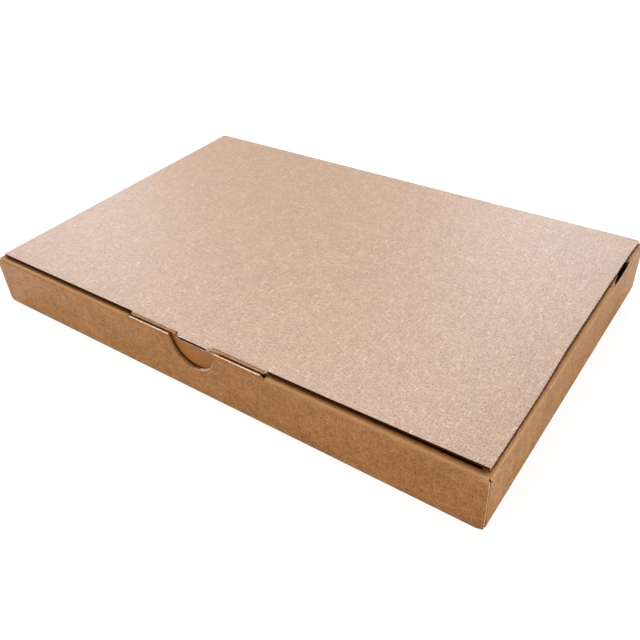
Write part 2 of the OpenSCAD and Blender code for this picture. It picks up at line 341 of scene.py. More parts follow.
def kraft_liner(name, base, contrast, sheen, gloss):
    """Brown liner. The base colour is made darker and lighter by a sum of patterns, from
    clouds 17 mm across to grain of 1 mm; over it lie pale and dark fibres in four
    directions and dark specks. contrast scales the pattern in the colour, sheen the pattern
    in the gloss. Along the crests a paler colour is painted as their highlight, and a matt
    place has less gloss and is painted darker and redder as shade. The flutes underneath
    show as a faint washboard."""
    material = bpy.data.materials.new(name)
    add = adder(material)
    here = add("TexCoord").outputs["Object"]
    grain, mottle, cloud = (
        add("TexNoise", {"Vector": here, "Scale": scale, "Detail": detail, **ROUGH})
        for scale, detail in (GRAIN, MOTTLE, CLOUD)
    )
    fibres = []
    for number, shape in enumerate(FIBRE_SHAPES):
        turn, shift = (0.2 * number, 0.3, 0.6 * number), (number, 2 * number, 0.5)
        laid = {"Vector": here, "Location": shift, "Rotation": turn, "Scale": shape}
        drawn = {"Vector": add("Mapping", laid), **FIBRE, **ROUGH}
        fibres.append(add("TexNoise", drawn))
    pale_fibre = add("Math", {0: fibres[0], 1: fibres[1]}, operation="MAXIMUM")
    dark_fibre = add("Math", {0: fibres[2], 1: fibres[3]}, operation="MAXIMUM")

    def mix_sum(*terms):
        """Each pattern's distance from its middle, 0.5, times its weight, all added up."""
        total = None
        for weight, pattern in terms:
            centred = {0: pattern, 1: weight, 2: -0.5 * weight}
            part = add("Math", centred, operation="MULTIPLY_ADD")
            total = add("Math", {0: total, 1: part}, operation="ADD") if total else part
        return total

    # a darker place is also redder, so green and blue change more than red
    red, green, blue = paint(base)[:3]
    change = (contrast * 0.5 * red, contrast * 0.62 * green, contrast * 0.72 * blue)
    paper = (2.4, grain), (1.9, pale_fibre), (-1.4, dark_fibre), (1.3, mottle), (0.75, cloud)
    tinted = {0: mix_sum(*paper), 1: change, 2: (red, green, blue)}
    colour = add("VectorMath", tinted, operation="MULTIPLY_ADD")

    # what lies over that colour, from the lowest layer to the topmost, and how much of it
    worn = add("Attribute", attribute_name="worn").outputs["Fac"]
    matt = add("Attribute", attribute_name="matt").outputs["Fac"]
    palest = {"Value": pale_fibre, "From Min": 0.64, "From Max": 0.74, "To Max": 0.5}
    streak = add("MapRange", palest)
    # painted shade: matt places are painted darker and redder
    painted_shade = add("Math", {0: matt, 1: 0.6}, operation="MULTIPLY")
    # painted highlight: the crests are painted paler
    crest_highlight = add("Math", {0: worn, 1: 0.45}, operation="MULTIPLY")
    cells = add("TexVoronoi", {"Vector": here, "Scale": SPECKS})
    # a dot of half a millimetre or less round the place's centre
    centre = {"Value": cells.outputs["Distance"], "From Min": 0.028, "From Max": 0.045}
    dot = add("MapRange", {**centre, "To Min": 0.8, "To Max": 0.0})
    chance = add("SeparateColor", {0: cells.outputs["Color"]})
    rare = add("Math", {0: chance, 1: 0.78}, operation="GREATER_THAN")
    speck = add("Math", {0: dot, 1: rare}, operation="MULTIPLY")
    layers = (streak, "#D6B48C"), (painted_shade, "#9C5C2C"), (crest_highlight, "#D9AE78"), (speck, "#5E4028")
    for share, over in layers:
        colour = add("Mix", {0: share, 6: colour, 7: paint(over)}, data_type="RGBA")

    across = add("SeparateXYZ", {0: add("UVMap", uv_map="board")}).outputs["Y"]
    phase = add("Math", {0: across, 1: 2 * math.pi / FLUTE}, operation="MULTIPLY")
    ridge = add("Math", {0: phase}, operation="SINE")
    washboard = {0: ridge, 1: 0.12, 2: mix_sum((1.0, grain), (1.0, pale_fibre))}
    height = add("Math", washboard, operation="MULTIPLY_ADD")
    bump = add("Bump", {"Height": height, "Strength": 0.35, "Distance": 0.0001})
    shine = mix_sum((2.6, grain), (1.6, pale_fibre), (-1.8, dark_fibre))
    polish = add("Math", {0: shine, 1: gloss * sheen, 2: gloss}, operation="MULTIPLY_ADD")
    kept = add("Math", {0: matt, 1: -0.85, 2: 1.0}, operation="MULTIPLY_ADD")
    level = add("Math", {0: polish, 1: kept}, operation="MULTIPLY")
    skin = {"Base Color": colour, "Normal": bump, "Specular IOR Level": level}
    shader = add("BsdfPrincipled", {"Roughness": 0.38, "IOR": 1.6, **skin})
    add("OutputMaterial", {"Surface": shader})
    return material


# both skins are the same paper, but the lid's shows more of its gloss and less of its tone
kraft = kraft_liner("kraft_liner", "#A5733F", 1.38, 0.3, 0.72)
kraft_lid = kraft_liner("kraft_liner_lid", "#A5733F", 0.4, 0.88, 0.93)
print("liners", kraft.name, kraft_lid.name)

# %% [markdown]
# ## Cut edges
#
# Where the die cuts across the flutes, the edge shows a wave of pale paper between its two
# liners, and the openings between the waves are painted brown as their shade. Where it cuts
# along them, the edge is either crushed to a pale fibrous strip, or it opens a flute from
# end to end: a liner with a channel under it, both painted dark as the shade in the cut. At
# the box's corners only the outer half of the edge is pale, and its inner half is painted
# dark brown as the shade of the seam. The patterns are drawn on the edge's own
# coordinates, along it and from skin to skin.

# %% Cut edge materials
LINER_EDGE, MEDIUM_EDGE = 0.14, 0.3  # how thick liner and wave are drawn, in millimetres
# the hollow or the ground of each kind of edge, and its paper at the darkest and palest;
# the brown ground between the waves, the channel and its dark paper along a flute, and the
# dark inner half at the corners are painted shade
EDGE_COLOURS = {
    OPEN_FLUTES: ("#94683F", "#D6BA9B", "#F2E2CE"),
    CRUSHED: ("#D9B892", "#E8D2B8", "#FAEFE0"),
    # along a flute: the near-black channel and the dark brown paper are painted shade
    HOLLOW: ("#3A1A08", "#6A3D1A", "#87562C"),
    # at the corners: the dark inner half is painted shade of the seam
    PAINTED_SEAM_SHADE: ("#6B4525", "#C9A27A", "#DDBE98"),
}


def cut_edge(name, kind):
    """Paper on edge. Across the flutes the wave is a sine along the edge, pale where a point
    is near the wave and not in a liner, and the ground around it is painted brown as the
    shade in the open flutes; along a flute only the outer liner's thin edge is paper, painted
    dark brown, and the rest is a near-black hollow, both as painted shade; a crushed edge is
    pale and ragged all over; at the box's corners only the outer half is pale, and the inner
    half is painted dark brown as the shade of the seam."""
    material = bpy.data.materials.new(name)
    add = adder(material)
    along, depth = add("SeparateXYZ", {0: add("UVMap", uv_map="board")}).outputs[:2]
    here = add("TexCoord").outputs["Object"]
    fine = {"Vector": here, "Scale": 700.0, "Detail": 3.0, "Roughness": 0.7}  # about 1.4 mm
    grain = add("TexNoise", fine)
    across = add("Math", {0: depth, 1: BOARD / 2}, operation="SUBTRACT")
    if kind == OPEN_FLUTES:
        from_middle = add("Math", {0: across}, operation="ABSOLUTE")
        in_liner = {0: from_middle, 1: BOARD / 2 - LINER_EDGE}
        liner = add("Math", in_liner, operation="GREATER_THAN")
        inside = add("Math", {0: 1.0, 1: liner}, operation="SUBTRACT")
        phase = add("Math", {0: along, 1: 2 * math.pi / FLUTE}, operation="MULTIPLY")
        wave = add("Math", {0: phase}, operation="SINE")
        crest = add("Math", {0: wave, 1: BOARD / 2 - MEDIUM_EDGE}, operation="MULTIPLY")
        off = add("Math", {0: across, 1: crest}, operation="SUBTRACT")
        distance = add("Math", {0: off}, operation="ABSOLUTE")
        medium = add("Math", {0: distance, 1: MEDIUM_EDGE}, operation="LESS_THAN")
        solid = add("Math", {0: inside, 1: medium}, operation="MULTIPLY")
    elif kind == CRUSHED:
        solid = add("MapRange", {"Value": grain, "From Min": 0.38, "From Max": 0.55})
    else:
        lowest = BOARD / 2 - LINER_EDGE if kind == HOLLOW else 0.1
        solid = add("Math", {0: across, 1: lowest}, operation="GREATER_THAN")
    hollow, low, high = (paint(shade) for shade in EDGE_COLOURS[kind])
    paper = add("Mix", {0: grain, 6: low, 7: high}, data_type="RGBA")
    colour = add("Mix", {0: solid, 6: hollow, 7: paper}, data_type="RGBA")
    bump = add("Bump", {"Height": grain, "Strength": 0.3, "Distance": 0.0001})
    dull = {"Roughness": 0.9, "IOR": 1.45, "Specular IOR Level": 0.08}
    shader = add("BsdfPrincipled", {"Base Color": colour, "Normal": bump, **dull})
    add("OutputMaterial", {"Surface": shader})
    return material


edges = [
    cut_edge("board_cut_across_flutes", OPEN_FLUTES),
    cut_edge("board_cut_crushed", CRUSHED),
    cut_edge("board_cut_along_a_flute", HOLLOW),
    cut_edge("board_cut_corner_seam_shade", PAINTED_SEAM_SHADE),
]
skins_tray = [kraft, *edges]
skins_lid = [kraft_lid, *edges]
print("cut edges", [edge.name for edge in edges])

# %% [markdown]
# ## Front wall
#
# The front wall is rolled like the sides, but in its middle the strip over the top is cut
# out, so that the lid's tab can slide down into the wall. The outer panel stands straight
# up there as a thin lip, with a half-round notch for the thumb. The ends of the strip and
# of the inner panel are cut back, so that they meet the side walls at a mitre.

# %% Front wall's ends
SLOT = 51.0  # half the length of the cut-out for the tab
LOCK = 16.0  # half the width of a tongue
TONGUE_X, TONGUE_Y = LENGTH / 4, WIDTH / 4  # the tongues' middles
# the sides of a tongue and of the slot that takes it
tongue_sides = np.array([-LOCK - GAP, -LOCK, LOCK, LOCK + GAP])
tongue_x, tongue_y = TONGUE_X + tongue_sides, TONGUE_Y + tongue_sides
SLOT_LOW = WALL - FOLD_OUT - ROLL_DROP - FOLD_IN
P_SLOT = P_PANEL + SLOT_LOW - FOLD_OUT
P_STUB = P_INNER - 0.15
MITRE, MITRE_GAP = 7.0, 0.2
LOWER_REACH, UPPER_REACH = 2.6, 1.8  # how far along the sheet its corners are rounded
STRAIGHT_X, FLOOR_X = 165.0, 169.0  # the grid's last straight line, and where the floor ends


def mitre(places):
    """How much the roll's ends are cut back: not at all up to the crease, and evenly more
    from there to the start of the inner panel."""
    return MITRE * np.clip((places - P_CREASE) / (P_DOWN - P_CREASE), 0, 1)


def place_front(steps, pinched=False):
    """The folded section stands along X and faces -Y. A pinched panel gets thinner towards
    its cut edge, where the die has crushed it."""
    def place(P, Q, h):
        if pinched:
            cut = P_PANEL + WALL + LIP - FOLD_OUT
            h = 1 - (1 - h) * np.interp(P, [P_TOP - 0.5, cut], [1.0, 0.6])
        section = fold(steps, P, h)
        return np.stack([Q, FOLD_OUT - HALF_W - section[..., 0], BOARD + section[..., 1]], -1)
    return place


rows = lines(stations(ROLLED), [2.2, LOWER_REACH, P_SLOT, P_CREASE, P_STUB, P_END])
cut_back = mitre(rows) + MITRE_GAP * (rows > P_CREASE)
# the die rounds the panel's lower corner, and the fold wears its upper one
lower_round = np.clip(1 - rows / LOWER_REACH, 0, 1) ** 1.3
upper_round = np.clip(1 - np.abs(rows - P_CREASE) / UPPER_REACH, 0, 1) ** 1.5
end_lines = [SLOT, 60, *tongue_x, 120, 135, 150, 160, STRAIGHT_X, FLOOR_X, HALF_L]
middles = between(end_lines)
below_slot = rows[:-1] < P_SLOT - NEAR
on_stub = (rows[:-1] >= P_STUB - NEAR) & (rows[:-1] < P_END - NEAR)
front_panels = []
for sign, lower, upper in ((-1, 3.0, 2.0), (1, 8.5, 0.3)):  # in millimetres at the corners
    Q = np.repeat([end_lines], len(rows), 0).astype(float)
    Q[:, -1] = HALF_L - cut_back - lower * lower_round - upper * upper_round
    halfway = STRAIGHT_X + 0.5 * (Q[:, -1] - STRAIGHT_X)
    Q[:, -2] = np.where(rows > P_CREASE, halfway, np.minimum(FLOOR_X, halfway))
    keep = np.ones((len(rows) - 1, Q.shape[1] - 1), bool)
    keep[rows[:-1] >= P_END - NEAR] = np.abs(middles - TONGUE_X) < LOCK
    joined = {"p0": middles < FLOOR_X, "q0": below_slot | on_stub}
    panel = board(place_front(ROLLED), rows[:, None], sign * Q, keep, joined)
    points, faces, uvs, kinds = panel
    # at the box's corners the edge is pale on its outer half and painted dark brown on its
    # inner half, as the shade of the seam, up to the crease
    at_end = (uvs[:, :, 0].mean(1) < P_STRIP) & (np.abs(points[faces, 0]).mean(1) > 160)
    kinds[(kinds == OPEN_FLUTES) & at_end] = PAINTED_SEAM_SHADE
    front_panels.append(panel)
print("front wall", len(rows), "rows, ends", len(front_panels))

# %% [markdown]
# The middle of the wall is a panel of its own. Its upper rows follow the lip's outline, so
# the notch is a true half circle and not a staircase. Inside, a short stub joins the two
# rolled ends.

# %% Front wall's lip and thumb notch
NOTCH = 17.0  # radius of the thumb notch
LIP_END = 2.6  # length of the lip's slanted ends
LIP_RUN = 46.0  # half the length of its even part

notch_x = NOTCH * np.cos(np.linspace(math.pi, 0, 33))
middle_q = np.concatenate([
    [-SLOT, -SLOT + LIP_END], even_steps(-LIP_RUN, -NOTCH - 1, 6), notch_x,
    even_steps(NOTCH + 1, LIP_RUN, 6), [SLOT - LIP_END, SLOT],
])
depth = np.where(np.abs(middle_q) < NOTCH, np.sqrt(np.maximum(NOTCH**2 - middle_q**2, 0)), 0)
lip_top = WALL + LIP - depth
lip_top[[0, -1]] = WALL - 1
# the rolled ends' rows, drawn together above the fold to fit under the outline
share = np.clip((lip_top - FOLD_OUT) / (WALL + LIP - FOLD_OUT), 0, 1)
share[[0, -1]] = 1
low_rows = rows[rows < P_SLOT + NEAR][:, None]
fitted = np.where(low_rows <= P_PANEL, low_rows, P_PANEL + (low_rows - P_PANEL) * share)
top_row = (P_PANEL + lip_top - FOLD_OUT)[None]
P = np.concatenate([fitted, top_row - 0.3, top_row])
under = np.arange(len(P) - 1) < len(low_rows) - 1
lip = board(place_front(UPRIGHT, True), P, middle_q, None, {"p0": True, "q0": under, "q1": under})
faces_x, kinds = lip[2][:, :, 0].mean(1), lip[3]
# the notch's left part is as brown as the liner, as painted shade on that edge. The lip's
# slanted ends are as brown as the liner too.
kinds[(kinds == CRUSHED) & (np.abs(faces_x + 7) < 10)] = LINER
# the die has rubbed the paper pale along the right half of the notch
outer_skin = np.zeros((len(P) - 1, len(middle_q) - 1), int)
outer_skin[-1] = np.where(np.abs(between(middle_q) - 9) < 8.5, CRUSHED, LINER)
kinds[: outer_skin.size] = outer_skin.ravel()
kinds[(kinds == CRUSHED) & (np.abs(faces_x) > SLOT - LIP_END)] = LINER
front_panels.append(lip)
stub_rows = rows[(rows >= P_STUB - NEAR) & (rows <= P_END + NEAR)][:, None]
stub = board(place_front(ROLLED), stub_rows, middle_q, None, {"q0": True, "q1": True})
front_panels.append(stub)
print("front wall panels", len(front_panels))

# %% [markdown]
# ## Side walls
#
# Each side wall is rolled in the same way. Near the back a slot is cut through the roll. Its
# front end slants, so the strip narrows to a point there, and a short overcut runs on from
# the point. Beside the slot the outer panel has no strip to pull it over: it stays upright,
# and its cut edge is crushed thin.

# %% Side walls
SIDE_FRONT, SIDE_BACK = -HALF_W + GAP + FOLD_OUT, HALF_W - GAP
TAB_START = BOARD + GAP + FOLD_OUT - HALF_W
STRIP_BACK = HALF_W - BOARD - GAP
SLOT_FRONT, SLOT_SLANT, SLOT_BACK, SLOT_IN = 58.5, 76.0, 88.5, 3.6
SLOT_UP = 61.5  # from here to the back the panel beside the slot stands upright
OVERCUT = 53.4  # where the overcut starts
CUT_HALF = 0.16  # half the width of a die cut
LOWER_ROUND = 2.4  # rounding of the box's lower front corners
P_EDGE = P_PANEL + WALL - FOLD_IN - FOLD_OUT  # cut edge of the upright panel
P_HOLE = P_STRIP + (SLOT_IN - FOLD_OUT) / math.cos(math.radians(TILT))
MERGE = 0.02  # rows this close to a fold's ends belong to the fold
HOLE_ROW = P_HOLE + 0.1  # the first row past the slot
CUT_ROWS = 6  # rows from a fold to a cut


def place_side(sign, upright=None):
    """The section stands along Y and faces X or -X. upright(Q) says how far the panel's top
    has been left standing straight instead of rolled over, from 0 to 1, and there the board
    is crushed from its inner side."""
    def place(P, Q, h):
        if upright is not None:
            h = 1 - (1 - h) * np.interp(P, [P_TOP - 1, P_EDGE], [1.0, 0.42])
        section = fold(ROLLED, P, h)
        if upright is not None:
            share = upright(Q)[..., None]
            section = (1 - share) * section + share * fold(UPRIGHT, P, h)
        outward = HALF_L - FOLD_OUT + section[..., 0]
        return np.stack([sign * outward, Q, BOARD + section[..., 1]], -1)
    return place


def spread(low, high):
    """Rows at even shares between two outlines low(Q) and high(Q)."""
    return low + (high - low) * np.linspace(0, 1, CUT_ROWS)[:, None]


def standing(Q):
    """How upright the panel beside the slot is: not at the slot's front end, wholly from
    SLOT_UP on, and less again towards its back end."""
    return np.interp(Q, [SLOT_FRONT, SLOT_UP, 78, SLOT_BACK], [0, 1, 1, 0.35])


side_rows = lines(rows, [P_PANEL + MERGE, P_TOP - MERGE])
is_panel = (side_rows > P_PANEL + MERGE / 2) & (side_rows < P_TOP - MERGE / 2)
# the front end: the panel goes on in a corner tab, and above and below it the sheet is cut
diagonal = -HALF_W + mitre(side_rows) + MITRE_GAP
lower_corner = LOWER_ROUND * np.clip(1 - side_rows / P_PANEL, 0, 1)
front_end = np.where(is_panel, TAB_START, np.maximum(SIDE_FRONT + lower_corner, diagonal))
back_end = np.where(side_rows > P_STRIP, STRIP_BACK, SIDE_BACK)
ends = side_rows[:-1] >= P_END - NEAR
below_top = side_rows[side_rows < P_TOP - MERGE / 2][:, None]
above_hole = side_rows[side_rows > HOLE_ROW + 0.1][:, None]
column = side_rows[:, None]

before = [-100, -60, -50, -20, -8, 4, 16, 28, 50, OVERCUT, *-tongue_y, *tongue_y[:2]]
behind = [SLOT_BACK, 95, 103, 108]
cut_q = np.linspace(OVERCUT, SLOT_FRONT, 8)
slot_q = np.array([
    SLOT_FRONT, 59.5, 60.5, SLOT_UP, 63, 65, 67, 69, 71, tongue_y[2], 74.5,
    SLOT_SLANT, 78, 80.5, 83, 85.5, SLOT_BACK,
])
side_panels = {}
for sign in (-1, 1):
    # from the front corner to the overcut
    Q = np.concatenate([front_end[:, None], np.repeat([np.sort(before)], len(side_rows), 0)], 1)
    middles = between(Q[0])
    keep = np.ones((len(side_rows) - 1, Q.shape[1] - 1), bool)
    keep[ends] = (np.abs(middles + TONGUE_Y) < LOCK) | (middles > TONGUE_Y - LOCK)
    on_floor = middles > FOLD_OUT - HALF_W
    joined = {"p0": on_floor, "q1": True, "q0": is_panel[:-1] & is_panel[1:]}
    panels = [board(place_side(sign), column, Q, keep, joined, flutes="p", along=HOLLOW)]

    # along the overcut: two rows follow it, and the cells between them are left out
    path = np.interp(cut_q, [OVERCUT, SLOT_FRONT], [P_STRIP + 0.8, P_CREASE])
    width = CUT_HALF * np.clip((cut_q - OVERCUT) / 1.5, 0, 1)
    P = np.concatenate([
        np.repeat(below_top, len(cut_q), 1), spread(P_TOP, path - width),
        spread(path + width, HOLE_ROW), np.repeat(above_hole, len(cut_q), 1),
    ])
    keep = np.ones((len(P) - 1, len(cut_q) - 1), bool)
    keep[len(below_top) + CUT_ROWS - 1] = False
    beyond = (P[:-1, -1] < P_TOP - NEAR) | (P[:-1, -1] > P_CREASE)
    joined = {"p0": True, "q0": True, "q1": beyond}
    panels.append(board(place_side(sign), P, cut_q, keep, joined, flutes="p"))

    # beside the slot: first the outer panel below it, then the strip and inner panel
    edge = np.interp(slot_q, [SLOT_FRONT, SLOT_UP], [P_CREASE - CUT_HALF, P_EDGE])
    P = np.concatenate([np.repeat(below_top, len(slot_q), 1), spread(P_TOP, edge)])
    under = P[:-1, 0] < P_TOP - NEAR
    joined = {"p0": True, "q0": under, "q1": under}
    panels.append(board(place_side(sign, standing), P, slot_q, None, joined, flutes="p"))
    start = np.interp(slot_q, [SLOT_FRONT, SLOT_SLANT], [P_CREASE + CUT_HALF, P_HOLE])
    P = np.concatenate([spread(start, HOLE_ROW), np.repeat(above_hole, len(slot_q), 1)])
    keep = np.ones((len(P) - 1, len(slot_q) - 1), bool)
    keep[P[:-1, 0] >= P_END - NEAR] = between(slot_q) < TONGUE_Y + LOCK
    joined = {"q0": True, "q1": P[:-1, -1] > (P_HOLE + HOLE_ROW) / 2}
    panels.append(board(place_side(sign), P, slot_q, keep, joined, flutes="p"))

    # from the slot to the back corner
    Q = np.concatenate([np.repeat([behind], len(side_rows), 0), back_end[:, None]], 1)
    keep = np.ones((len(side_rows) - 1, Q.shape[1] - 1), bool)
    keep[ends] = False
    past_slot = (side_rows[:-1] < P_TOP - MERGE - NEAR) | (side_rows[:-1] > P_HOLE)
    joined = {"p0": True, "q0": past_slot & ~ends}
    panels.append(board(place_side(sign), column, Q, keep, joined, flutes="p"))
    side_panels[sign] = panels
print("side wall panels", [len(panels) for panels in side_panels.values()])

# %% [markdown]
# ## Corner tabs and back wall
#
# The side walls turn round the front corners and end in tabs inside the front wall. The back
# wall has tabs of its own, which go into the side walls. These turns stand upright, so the
# same folding function works in plan here.

# %% Corner tabs and back wall
TAB_LOW, TAB_HIGH = FOLD_OUT + GAP, WALL - FOLD_OUT - ROLL_DROP - GAP
BACK_HALF = HALF_L - BOARD - GAP
BACK_RUN = BACK_HALF - FOLD_OUT  # half the back wall's straight length
FRONT_TAB, BACK_TAB = 70.0, 22.0
P_BACK = P_PANEL + LID_TOP - 2 * FOLD_OUT


def place_turn(x, y, ahead, left):
    """A sheet that turns a corner in plan: the inner skin starts at (x, y) and goes ahead,
    then bends to the left, and Q is the height."""
    def place(P, Q, h):
        section = fold([(0, 90), (90, 0)], P, h)
        plan = (x, y) + section[..., :1] * np.array(ahead) + section[..., 1:] * np.array(left)
        return np.concatenate([plan, Q[..., None]], -1)
    return place


def place_back(P, Q, h):
    """The back wall stands along X and faces +Y."""
    section = fold(UPRIGHT, P, h)
    return np.stack([Q, HALF_W - FOLD_OUT + section[..., 0], BOARD + section[..., 1]], -1)


heights = np.concatenate([[TAB_LOW], even_steps(6, 30, 4), [TAB_HIGH]])
turn_rows = stations([(0, 90), (FRONT_TAB, 0)], every=12)[:, None]
back_rows = stations([(0, 90), (BACK_TAB, 0)], every=8)[:, None]
corner_panels = []
for sign in (-1, 1):
    at_front = place_turn(sign * (HALF_L - BOARD), TAB_START, (0, -1), (-sign, 0))
    at_back = place_turn(sign * BACK_RUN, HALF_W - BOARD, (sign, 0), (0, -1))
    corner_panels.append(board(at_front, turn_rows, heights, None, {"p0": True}))
    corner_panels.append(board(at_back, back_rows, heights, None, {"p0": True}))

back_p = lines(stations([(0, 90)]), P_PANEL + heights - FOLD_OUT, [P_BACK])
back_q = even_steps(-BACK_RUN, BACK_RUN, 14)
tabbed = (back_p[:-1] > P_PANEL + GAP - NEAR) & (back_p[1:] < P_PANEL + TAB_HIGH - FOLD_OUT + NEAR)
joined = {"p0": True, "q0": tabbed, "q1": tabbed}
back_panel = board(place_back, back_p[:, None], back_q, None, joined)
print("corner panels", len(corner_panels), "back wall", len(back_p), "rows")

# %% [markdown]
# ## Floor
#
# The floor is the middle of the blank. Slots are cut in it for the tongues at the ends of the
# rolled walls' inner panels. They show from below.

# %% Floor
SLOT_X = [HALF_L - ROLL - GAP, HALF_L - ROLL + BOARD + GAP]  # sides of the side walls' slots
SLOT_Y = [ROLL - BOARD - GAP - HALF_W, ROLL + GAP - HALF_W]  # sides of the front wall's slots
OPEN_X, OPEN_Y = tongue_x[[0, 3]], tongue_y[[0, 3]]  # ends of the slots


def place_floor(P, Q, h):
    """Flat on the table: the inner skin is the upper one."""
    return np.stack([Q, P, BOARD * (1 - h)], -1)


def is_between(places, limits):
    """True where a place lies between the two limits."""
    return (places > limits[0]) & (places < limits[1])


half_q = np.array([60, *OPEN_X, 120, 135, 150, *SLOT_X, HALF_L - FOLD_OUT])
floor_q = lines(middle_q, -half_q, half_q)
floor_p = lines(
    [FOLD_OUT - HALF_W, *SLOT_Y, -100, -60, -20, 0, 20, 50, SLOT_UP], -OPEN_Y, OPEN_Y,
    [*behind, HALF_W - FOLD_OUT],
)
mid_q, mid_p = np.abs(between(floor_q)), between(floor_p)
front_hole = is_between(mid_p, SLOT_Y)[:, None] & (np.abs(mid_q - TONGUE_X) < LOCK + GAP)
at_side = (np.abs(np.abs(mid_p) - TONGUE_Y) < LOCK + GAP)[:, None]
side_hole = at_side & is_between(mid_q, SLOT_X)
floor_rows = np.repeat(floor_p[:, None], len(floor_q), 1)
floor_rows[0, [0, -1]] += LOWER_ROUND
joined = {"p0": mid_q < STRAIGHT_X, "p1": mid_q < BACK_RUN, "q0": True, "q1": True}
floor_panel = board(place_floor, floor_rows, floor_q, ~(front_hole | side_hole), joined)
print("floor", len(floor_p), "by", len(floor_q), "points")

# %% [markdown]
# ## The whole tray, with its painted highlight and shade
#
# The crests of the rolled walls are painted paler than the rest, as their highlight. The
# tops of the rolls have lost their gloss where the lid slides over them, and they are
# painted darker and redder as the shade under the lid; the front wall's face has about half
# of that, more so to the right. Both are stored as numbers on the mesh's points, which the
# liner's material reads.

# %% Painted crest highlight and shade, and the tray as one piece
HIGHLIGHT_AREA = 0.9  # square millimetres: the painted highlight on a crest fades by a bell curve of this breadth
ON_BEND = FOLD_OUT * (1 - math.sqrt(0.5))  # from the outer faces to the middle of a bend


def crest_highlight_and_shade(points):
    """Painted highlight and shade on the rolled walls. The highlight falls off by a bell
    curve from each crest: it is 1 on the front wall's, which lies 1.3 mm in and 0.2 mm below
    the top, and 0.8 on the sides', in the middle of their bends. matt takes gloss away and
    paints shade: it is 1 on the rolls' tops, within a millimetre of the walls' height and
    from 2 mm behind the side walls' faces on, and about half on the front wall's face, more
    so to the right."""
    x, y, z = points.T
    from_front, from_side, under = y + HALF_W, HALF_L - np.abs(x), WALL - z
    # painted highlight: a paler band along each crest
    front = np.exp(-((from_front - 1.3) ** 2 + (under - 0.2) ** 2) / HIGHLIGHT_AREA)
    sides = np.exp(-((from_side - ON_BEND) ** 2 + (under - ON_BEND) ** 2) / HIGHLIGHT_AREA)
    # painted shade, with less gloss: the rolls' tops under the lid, and the front wall's face,
    # darker towards the right
    roll_top = np.clip((1.9 - under) / 0.9, 0, 1) * np.clip((from_side - 0.8) / 1.2, 0, 1)
    face = (0.45 + 0.1 * x / HALF_L) * np.clip((1.2 - from_front) / 0.6, 0, 1)
    return {"worn": np.maximum(front, 0.8 * sides), "matt": np.maximum(roll_top, face)}


walls = [*front_panels, *side_panels[-1], *side_panels[1], *corner_panels, back_panel]
tray_board = make_piece("tray_board", [floor_panel, *walls], skins_tray, crest_highlight_and_shade)
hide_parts("tray")
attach(tray_board, "tray")

# %% [markdown]
# ## Lid
#
# The lid hangs on the back wall's top crease. Its front edge carries the tuck tab, folded
# down, and between the tab's two creases a small finger lip stays flat. Its other edges are
# raw cuts: the front one runs along a flute and shows its channel, painted dark as shade,
# and the side ones cross the flutes.
#
# A real lid is never quite flat or square. This one sags a little between its corners, and
# it was cut slightly out of true, so both are part of the function that places it.

# %% Lid panel
LID_SIDE = HALF_L - 2.6
LID_BACK = HALF_W - FOLD_OUT
FRONT_Y = LID_FRONT - HALF_W
FINGER, FINGER_REACH, FINGER_TAPER = 13.7, 3.4, 3.3  # half width, length, and what it narrows by
TUCK_HALF, TUCK_DROP, TUCK_ROUND = 50.0, 22.7, 8.0  # half width, depth, and corner radius
SAG, SET_BACK = 0.28, 1.3  # how deep the lid hangs, and how far its front right corner is back


def sag(x, y):
    """How far the lid hangs below its highest corner, in millimetres: it rests on the walls
    and lifts a little at the front right."""
    lift = np.clip((x + 40) / 210, 0, 1) ** 2 * np.clip((40 - y) / 150, 0, 1) ** 2
    ripple = 0.5 + 0.25 * np.sin(x / 61 + 0.8) + 0.25 * np.sin(y / 47 + x / 130)
    return SAG * (1 - lift) * (0.55 + 0.45 * ripple)


def place_lid(P, Q, h):
    """Flat on top: the outer skin is the upper one, and P runs from back to front. The
    board is cut a little out of true: towards its front right corner it lies up to 1.3 mm
    back, and its right edge is hollow by 1 mm, which fades out from there to x = 120."""
    to_right, to_front = (Q - 55) / (LID_SIDE - 55), (P + 20) / (20 - FRONT_Y)
    back = SET_BACK * np.clip(to_right, 0, 1) ** 1.3 * np.clip(to_front, 0, 1)
    hollow = np.interp(-P, [-50, -15, 60, 100, LID_BACK], [0, 1, 1, 0.6, 0])
    hollow = hollow * np.clip((Q - 120) / (LID_SIDE - 120), 0, 1)
    return np.stack([Q - hollow, back - P, LID_TOP - BOARD * (1 - h) - sag(Q, -P)], -1)


tab_lines = np.array([FINGER + GAP, 24, 32, 40, 46, TUCK_HALF])
lid_q = np.concatenate([
    [-LID_SIDE, -BACK_RUN], even_steps(-165, -60, 10), -tab_lines[::-1],
    even_steps(-FINGER, FINGER, 2.2), tab_lines, even_steps(60, 165, 10), [BACK_RUN, LID_SIDE],
])
lid_p = lines([-LID_BACK], even_steps(-100, 100, 8), [-FRONT_Y])
mid_q = np.abs(between(lid_q))
goes_on = (mid_q < TUCK_HALF) & (mid_q > FINGER + GAP) | (mid_q < FINGER)
# edges along the flutes, such as the front one, get the channel painted dark as shade
lid_panel = board(place_lid, lid_p[:, None], lid_q, None, {"p1": goes_on}, along=HOLLOW)
print("lid panel", len(lid_p), "by", len(lid_q), "points")

# %% [markdown]
# The tuck tab goes on from the lid's front edge and turns down. Its lower corners are round:
# below its straight part the rows follow a quarter circle. The finger lip is a short tongue
# between the two halves of the crease, and it stays in the lid's plane.

# %% Tuck tab, finger lip, and the lid as one piece
TAB_SLOPE = 3.0  # how much narrower the tab gets at its crease, on each side
TAB_INNER = 24.0  # the tab's grid is drawn in with its outline only beyond this line
tab_fold = [(0, 90), (TUCK_DROP - FOLD_OUT - TUCK_ROUND, 0)]


